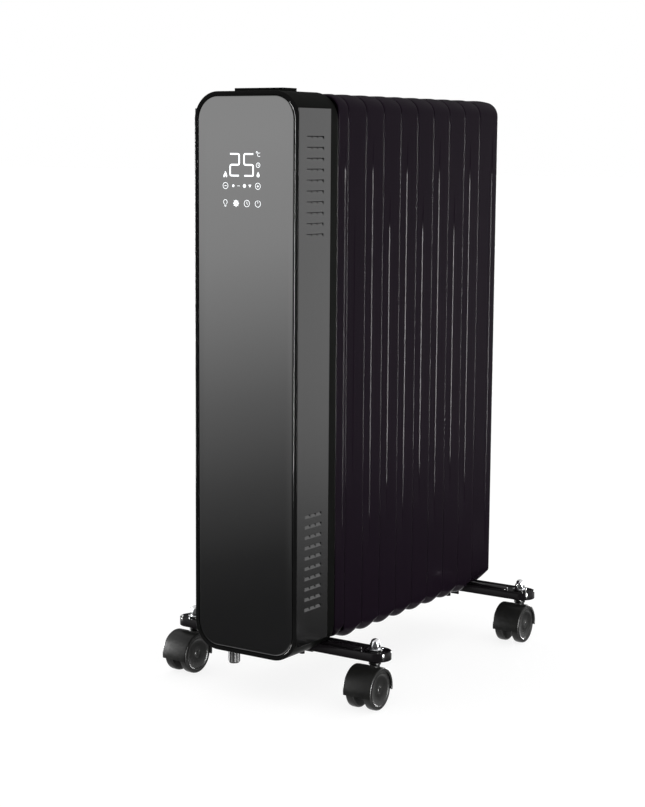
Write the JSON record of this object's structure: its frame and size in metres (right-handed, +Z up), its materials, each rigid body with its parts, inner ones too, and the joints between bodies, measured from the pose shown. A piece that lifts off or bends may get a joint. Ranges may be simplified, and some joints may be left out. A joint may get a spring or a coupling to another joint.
{
  "type": "oil filled radiator heater",
  "caption": "Upright portable oil filled radiator with a row of closed steel fins, a control housing with a touch display front, foot brackets and twin-wheel casters.",
  "frame": {"origin": "on the floor, under the middle of the heater's bounding box", "axes": "+Z up, the control front faces -Y, the fins run towards +Y, +X to the right seen from the front"},
  "size_m": [0.271, 0.4084, 0.633],
  "materials": {
    "fin_enamel": "satin black stove enamel with a faint purple cast",
    "housing_plastic": "fine matt moulded black",
    "bezel_gloss": "high gloss black",
    "front_glass": "smoked glossy front panel that reflects the room as a soft gradient",
    "side_gloss": "glossy dark grey trim",
    "raw_steel": "plain zinc plated steel",
    "element_steel": "dull sheathed element",
    "brass": "plain turned brass",
    "circuit_board": "green lacquered board",
    "relay_plastic": "blue moulded case",
    "gland_rubber": "matt black rubber",
    "bracket_enamel": "gloss black enamel on pressed steel",
    "bright_steel": "bright zinc plated fasteners",
    "chrome": "polished chrome",
    "caster_plastic": "satin moulded black nylon",
    "wheel_plastic": "satin moulded black nylon tread"
  },
  "bodies": {
    "heater": {"fin_01": "fin_enamel", "fin_02": "fin_enamel", "fin_03": "fin_enamel", "fin_04": "fin_enamel", "fin_05": "fin_enamel", "fin_06": "fin_enamel", "fin_07": "fin_enamel", "fin_08": "fin_enamel", "fin_09": "fin_enamel", "fin_10": "fin_enamel", "upper_oil_gallery": "raw_steel", "lower_oil_gallery": "raw_steel", "heating_element": "element_steel", "element_flange": "brass", "oil_filler_plug": "brass", "housing_shell": "housing_plastic", "front_bezel": "bezel_gloss", "front_glass": "front_glass", "side_panel_left": "side_gloss", "side_panel_right": "side_gloss", "carry_handle": "housing_plastic", "rear_shield": "raw_steel", "display_board": "circuit_board", "power_board": "circuit_board", "relay": "relay_plastic", "thermal_cutoff": "raw_steel", "room_sensor": "relay_plastic", "tip_over_switch": "relay_plastic", "cord_gland": "gland_rubber", "front_foot_bracket": "bracket_enamel", "rear_foot_bracket": "bracket_enamel", "front_hook_bolt": "bright_steel", "rear_hook_bolt": "bright_steel", "front_wing_nut": "bright_steel", "rear_wing_nut": "bright_steel", "front_left_dome_nut": "chrome", "front_left_caster_stem": "raw_steel", "front_right_dome_nut": "chrome", "front_right_caster_stem": "raw_steel", "rear_left_dome_nut": "chrome", "rear_left_caster_stem": "raw_steel", "rear_right_dome_nut": "chrome", "rear_right_caster_stem": "raw_steel"},
    "tip_over_pendulum": {"tip_over_pendulum": "raw_steel"},
    "front_left_caster": {"front_left_caster_hood": "caster_plastic", "front_left_caster_axle": "raw_steel"},
    "front_left_inner_wheel": {"front_left_inner_wheel": "wheel_plastic"},
    "front_left_outer_wheel": {"front_left_outer_wheel": "wheel_plastic"},
    "front_right_caster": {"front_right_caster_hood": "caster_plastic", "front_right_caster_axle": "raw_steel"},
    "front_right_inner_wheel": {"front_right_inner_wheel": "wheel_plastic"},
    "front_right_outer_wheel": {"front_right_outer_wheel": "wheel_plastic"},
    "rear_left_caster": {"rear_left_caster_hood": "caster_plastic", "rear_left_caster_axle": "raw_steel"},
    "rear_left_inner_wheel": {"rear_left_inner_wheel": "wheel_plastic"},
    "rear_left_outer_wheel": {"rear_left_outer_wheel": "wheel_plastic"},
    "rear_right_caster": {"rear_right_caster_hood": "caster_plastic", "rear_right_caster_axle": "raw_steel"},
    "rear_right_inner_wheel": {"rear_right_inner_wheel": "wheel_plastic"},
    "rear_right_outer_wheel": {"rear_right_outer_wheel": "wheel_plastic"}
  },
  "joints": [
    {"name": "tip_over_swing", "type": "hinge", "parent": "heater", "child": "tip_over_pendulum", "pos_m": [0.022, -0.15925, 0.1965], "axis": [0, 1, 0], "range_deg": [-25, 25]},
    {"name": "front_left_swivel", "type": "hinge", "parent": "heater", "child": "front_left_caster", "pos_m": [-0.1176, -0.13575, 0.03], "axis": [0, 0, 1], "continuous": true},
    {"name": "front_left_inner_wheel_roll", "type": "hinge", "parent": "front_left_caster", "child": "front_left_inner_wheel", "pos_m": [-0.11808, -0.14944, 0.0212], "axis": [0.9994, -0.0349, 0], "continuous": true},
    {"name": "front_left_outer_wheel_roll", "type": "hinge", "parent": "front_left_caster", "child": "front_left_outer_wheel", "pos_m": [-0.11808, -0.14944, 0.0212], "axis": [0.9994, -0.0349, 0], "continuous": true},
    {"name": "front_right_swivel", "type": "hinge", "parent": "heater", "child": "front_right_caster", "pos_m": [0.1176, -0.13575, 0.03], "axis": [0, 0, 1], "continuous": true},
    {"name": "front_right_inner_wheel_roll", "type": "hinge", "parent": "front_right_caster", "child": "front_right_inner_wheel", "pos_m": [0.11808, -0.14944, 0.0212], "axis": [0.9994, 0.0349, 0], "continuous": true},
    {"name": "front_right_outer_wheel_roll", "type": "hinge", "parent": "front_right_caster", "child": "front_right_outer_wheel", "pos_m": [0.11808, -0.14944, 0.0212], "axis": [0.9994, 0.0349, 0], "continuous": true},
    {"name": "rear_left_swivel", "type": "hinge", "parent": "heater", "child": "rear_left_caster", "pos_m": [-0.1176, 0.18375, 0.03], "axis": [0, 0, 1], "continuous": true},
    {"name": "rear_left_inner_wheel_roll", "type": "hinge", "parent": "rear_left_caster", "child": "rear_left_inner_wheel", "pos_m": [-0.11808, 0.17006, 0.0212], "axis": [0.9994, -0.0349, 0], "continuous": true},
    {"name": "rear_left_outer_wheel_roll", "type": "hinge", "parent": "rear_left_caster", "child": "rear_left_outer_wheel", "pos_m": [-0.11808, 0.17006, 0.0212], "axis": [0.9994, -0.0349, 0], "continuous": true},
    {"name": "rear_right_swivel", "type": "hinge", "parent": "heater", "child": "rear_right_caster", "pos_m": [0.1176, 0.18375, 0.03], "axis": [0, 0, 1], "continuous": true},
    {"name": "rear_right_inner_wheel_roll", "type": "hinge", "parent": "rear_right_caster", "child": "rear_right_inner_wheel", "pos_m": [0.11808, 0.17006, 0.0212], "axis": [0.9994, 0.0349, 0], "continuous": true},
    {"name": "rear_right_outer_wheel_roll", "type": "hinge", "parent": "rear_right_caster", "child": "rear_right_outer_wheel", "pos_m": [0.11808, 0.17006, 0.0212], "axis": [0.9994, 0.0349, 0], "continuous": true}
  ]
}
